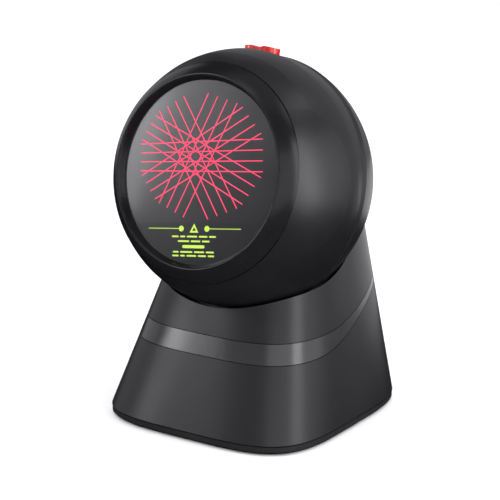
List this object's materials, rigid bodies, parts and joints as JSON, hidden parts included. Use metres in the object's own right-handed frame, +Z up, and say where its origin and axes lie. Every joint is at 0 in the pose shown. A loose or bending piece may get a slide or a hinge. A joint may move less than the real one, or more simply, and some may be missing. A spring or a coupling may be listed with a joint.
{
  "type": "hands-free barcode scanner",
  "caption": "Hands-free laser barcode scanner: ball head with a round tilted window, tilting in the cup of a flared weighted stand that has a cable socket at the back.",
  "frame": {"origin": "on the table, at the middle of the footprint", "axes": "+Z up, -Y out of the scan window, +X to the right seen from the window side"},
  "size_m": [0.1, 0.0984, 0.1446],
  "materials": {
    "shell_black": "satin charcoal ABS, fine texture",
    "trim_gloss": "polished dark grey trim",
    "bezel_black": "semi-gloss black ring",
    "window_glass": "dark tinted hard-coated window",
    "floor_black": "matte black plate",
    "rubber_black": "matte",
    "lens_red": "translucent red acrylic",
    "zinc_steel": "zinc plated",
    "ballast_steel": "raw steel",
    "post_alloy": "die-cast",
    "liner_grey": "low-friction acetal",
    "liner_black": "low-friction black acetal",
    "board_green": "solder mask",
    "socket_black": "moulded nylon",
    "contact_gold": "gold flash",
    "chassis_grey": "glass-filled",
    "mirror_silver": "front-surface mirror",
    "motor_metal": "can and rotor",
    "detector_dark": "dark epoxy",
    "led_white": "LED package"
  },
  "bodies": {
    "stand": {"base_collar": "shell_black", "trim_band": "trim_gloss", "base_shell": "shell_black", "bottom_plate": "floor_black", "rubber_feet": "rubber_black", "base_screws": "zinc_steel", "ballast_plate": "ballast_steel", "neck_post": "post_alloy", "neck_screws": "zinc_steel", "seat_ring": "liner_black", "jack_board": "board_green", "cable_jack": "socket_black", "jack_contacts": "contact_gold"},
    "head": {"front_housing": "shell_black", "rear_housing": "shell_black", "front_bezel": "bezel_black", "scan_window": "window_glass", "window_gasket": "rubber_black", "status_lens": "lens_red", "led_board": "board_green", "status_led": "led_white", "optics_chassis": "chassis_grey", "pattern_mirrors": "mirror_silver", "spindle_motor": "motor_metal", "laser_holder": "chassis_grey", "laser_module": "contact_gold", "collector_mirror": "mirror_silver", "photodetector": "detector_dark", "main_board": "board_green", "board_spacers": "zinc_steel", "buzzer": "socket_black", "board_connectors": "socket_black", "housing_screws": "zinc_steel", "tilt_bracket": "zinc_steel", "tilt_pin": "zinc_steel", "tilt_nut": "zinc_steel", "friction_washers": "liner_grey"},
    "spinner": {"rotor_hub": "motor_metal", "polygon_mirror": "mirror_silver"}
  },
  "joints": [
    {"name": "head_tilt", "type": "hinge", "parent": "stand", "child": "head", "pos_m": [0, -0.0075, 0.0943], "axis": [-1, 0, 0], "range_deg": [-10, 12]},
    {"name": "mirror_spin", "type": "hinge", "parent": "head", "child": "spinner", "pos_m": [0, -0.0075, 0.0943], "axis": [0, -0.965, 0.2622], "continuous": true}
  ]
}
